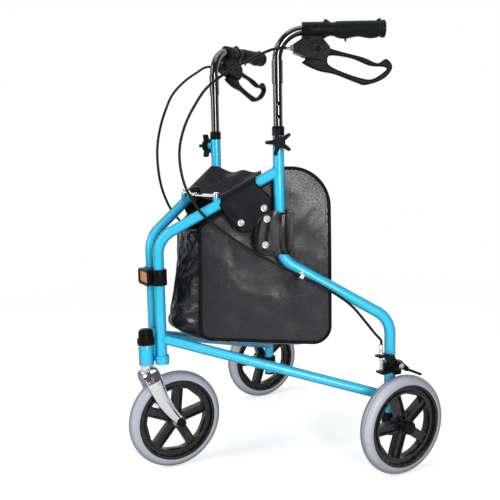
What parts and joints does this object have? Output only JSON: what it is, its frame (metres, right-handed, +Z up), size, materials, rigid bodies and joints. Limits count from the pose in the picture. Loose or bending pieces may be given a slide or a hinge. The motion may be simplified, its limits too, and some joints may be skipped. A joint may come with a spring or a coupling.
{
  "type": "three wheel rollator",
  "caption": "Folding three-wheel walking frame with a swivelling front caster, braked rear wheels, height-adjustable handles, loop brake levers and a soft bag.",
  "frame": {"origin": "on the floor, in the middle of the open rollator's outline", "axes": "+Z up, +Y to the rear, so the rollator faces -Y, +X to the user's left"},
  "size_m": [0.5718, 0.5396, 0.8406],
  "materials": {
    "frame_paint": "gloss",
    "black_plastic": "satin",
    "black_metal": "satin",
    "black_tube": "gloss",
    "grip_rubber": "matte",
    "grey_tyre": "matte",
    "chrome": "polished",
    "zinc_steel": "satin",
    "cable_sheath": "satin",
    "white_plastic": "satin",
    "amber_plastic": "gloss",
    "bag_vinyl": "coated cloth"
  },
  "bodies": {
    "head": {"head_tube": "frame_paint", "head_cap": "black_plastic", "head_bearings": "zinc_steel", "hinge_block": "black_plastic", "reflector": "amber_plastic", "bag_gusset": "bag_vinyl", "bag_lid": "bag_vinyl"},
    "caster": {"fork": "chrome", "stem_nut": "zinc_steel", "fork_axle": "zinc_steel"},
    "front_wheel": {"front_tyre": "grey_tyre", "front_rim": "black_plastic", "front_bearings": "zinc_steel"},
    "left_frame": {"left_front_tube": "frame_paint", "left_rear_tube": "frame_paint", "left_lower_tube": "frame_paint", "left_tube_collar": "black_plastic", "left_axle_bracket": "black_plastic", "left_axle": "zinc_steel", "left_brake_bracket": "black_metal", "left_brake_spring": "zinc_steel", "left_brake_cable": "cable_sheath", "left_cable_clip": "white_plastic", "left_bag_panel": "bag_vinyl"},
    "left_wheel": {"left_tyre": "grey_tyre", "left_rim": "black_plastic", "left_wheel_bearings": "zinc_steel", "left_hub_cap": "black_plastic"},
    "left_handle": {"left_handle_tube": "black_tube", "left_grip": "grip_rubber", "left_brake_housing": "black_plastic", "left_barrel_adjuster": "chrome"},
    "left_lever": {"left_brake_lever": "black_plastic"},
    "left_knob": {"left_knob": "black_plastic"},
    "left_brake_arm": {"left_brake_arm": "black_metal"},
    "right_frame": {"right_front_tube": "frame_paint", "right_rear_tube": "frame_paint", "right_lower_tube": "frame_paint", "right_tube_collar": "black_plastic", "right_axle_bracket": "black_plastic", "right_axle": "zinc_steel", "right_brake_bracket": "black_metal", "right_brake_spring": "zinc_steel", "right_brake_cable": "cable_sheath", "right_cable_clip": "white_plastic", "right_bag_panel": "bag_vinyl"},
    "right_wheel": {"right_tyre": "grey_tyre", "right_rim": "black_plastic", "right_wheel_bearings": "zinc_steel", "right_hub_cap": "black_plastic"},
    "right_handle": {"right_handle_tube": "black_tube", "right_grip": "grip_rubber", "right_brake_housing": "black_plastic", "right_barrel_adjuster": "chrome"},
    "right_lever": {"right_brake_lever": "black_plastic"},
    "right_knob": {"right_knob": "black_plastic"},
    "right_brake_arm": {"right_brake_arm": "black_metal"},
    "left_stay": {"left_stay_link": "chrome", "stay_joint": "black_plastic"},
    "right_stay": {"right_stay_link": "chrome"}
  },
  "joints": [
    {"name": "left_fold", "type": "hinge", "parent": "head", "child": "left_frame", "pos_m": [0.0195, -0.20525, 0.3], "axis": [0, 0, 1], "range_deg": [0, 23], "deforming": ["bag_gusset", "bag_lid"]},
    {"name": "right_fold", "type": "hinge", "parent": "head", "child": "right_frame", "pos_m": [-0.0195, -0.20525, 0.3], "axis": [0, 0, 1], "range_deg": [-23, 0]},
    {"name": "caster_swivel", "type": "hinge", "parent": "head", "child": "caster", "pos_m": [0, -0.22925, 0.23], "axis": [0, 0, 1], "continuous": true},
    {"name": "front_wheel_spin", "type": "hinge", "parent": "caster", "child": "front_wheel", "pos_m": [0, -0.17475, 0.095], "axis": [1, 0, 0], "continuous": true},
    {"name": "left_wheel_spin", "type": "hinge", "parent": "left_frame", "child": "left_wheel", "pos_m": [0.26037, 0.17475, 0.095], "axis": [1, 0, 0], "continuous": true},
    {"name": "left_handle_height", "type": "slide", "parent": "left_frame", "child": "left_handle", "axis": [0, 0, 1], "range_m": [-0.046, 0.046], "deforming": ["left_brake_cable"]},
    {"name": "left_lever_squeeze", "type": "hinge", "parent": "left_handle", "child": "left_lever", "pos_m": [0.16124, 0.05688, 0.788], "axis": [0.8796, -0.4756, 0], "range_deg": [0, 12], "stiffness_Nm_per_rad": 1.5},
    {"name": "left_knob_turn", "type": "hinge", "parent": "left_frame", "child": "left_knob", "pos_m": [0.14458, -0.01597, 0.6245], "axis": [0.8796, -0.4756, 0], "range_deg": [0, 360]},
    {"name": "left_brake_arm_pull", "type": "hinge", "parent": "left_frame", "child": "left_brake_arm", "pos_m": [0.24197, 0.18375, 0.203], "axis": [-1, 0, 0], "range_deg": [0, 9], "deforming": ["left_brake_spring"]},
    {"name": "left_stay_fold", "type": "hinge", "parent": "left_frame", "child": "left_stay", "pos_m": [0.07182, -0.10849, 0.53], "axis": [0, 0, 1], "range_deg": [0, 35.7]},
    {"name": "right_wheel_spin", "type": "hinge", "parent": "right_frame", "child": "right_wheel", "pos_m": [-0.26037, 0.17475, 0.095], "axis": [1, 0, 0], "continuous": true},
    {"name": "right_handle_height", "type": "slide", "parent": "right_frame", "child": "right_handle", "axis": [0, 0, 1], "range_m": [-0.046, 0.046], "deforming": ["right_brake_cable"]},
    {"name": "right_lever_squeeze", "type": "hinge", "parent": "right_handle", "child": "right_lever", "pos_m": [-0.16124, 0.05688, 0.788], "axis": [0.8796, 0.4756, 0], "range_deg": [0, 12], "stiffness_Nm_per_rad": 1.5},
    {"name": "right_knob_turn", "type": "hinge", "parent": "right_frame", "child": "right_knob", "pos_m": [-0.14458, -0.01597, 0.6245], "axis": [-0.8796, -0.4756, 0], "range_deg": [0, 360]},
    {"name": "right_brake_arm_pull", "type": "hinge", "parent": "right_frame", "child": "right_brake_arm", "pos_m": [-0.24197, 0.18375, 0.203], "axis": [-1, 0, 0], "range_deg": [0, 9], "deforming": ["right_brake_spring"]},
    {"name": "right_stay_fold", "type": "hinge", "parent": "right_frame", "child": "right_stay", "pos_m": [-0.07182, -0.10849, 0.53], "axis": [0, 0, 1], "range_deg": [-35.7, 0]}
  ],
  "couplings": [
    {"joint": "right_fold", "follows": "left_fold", "ratio": -1},
    {"joint": "left_stay_fold", "follows": "left_fold", "ratio": 1.543},
    {"joint": "right_stay_fold", "follows": "left_fold", "ratio": -1.543},
    {"joint": "left_brake_arm_pull", "follows": "left_lever_squeeze", "ratio": 0.75},
    {"joint": "right_brake_arm_pull", "follows": "right_lever_squeeze", "ratio": 0.75}
  ]
}
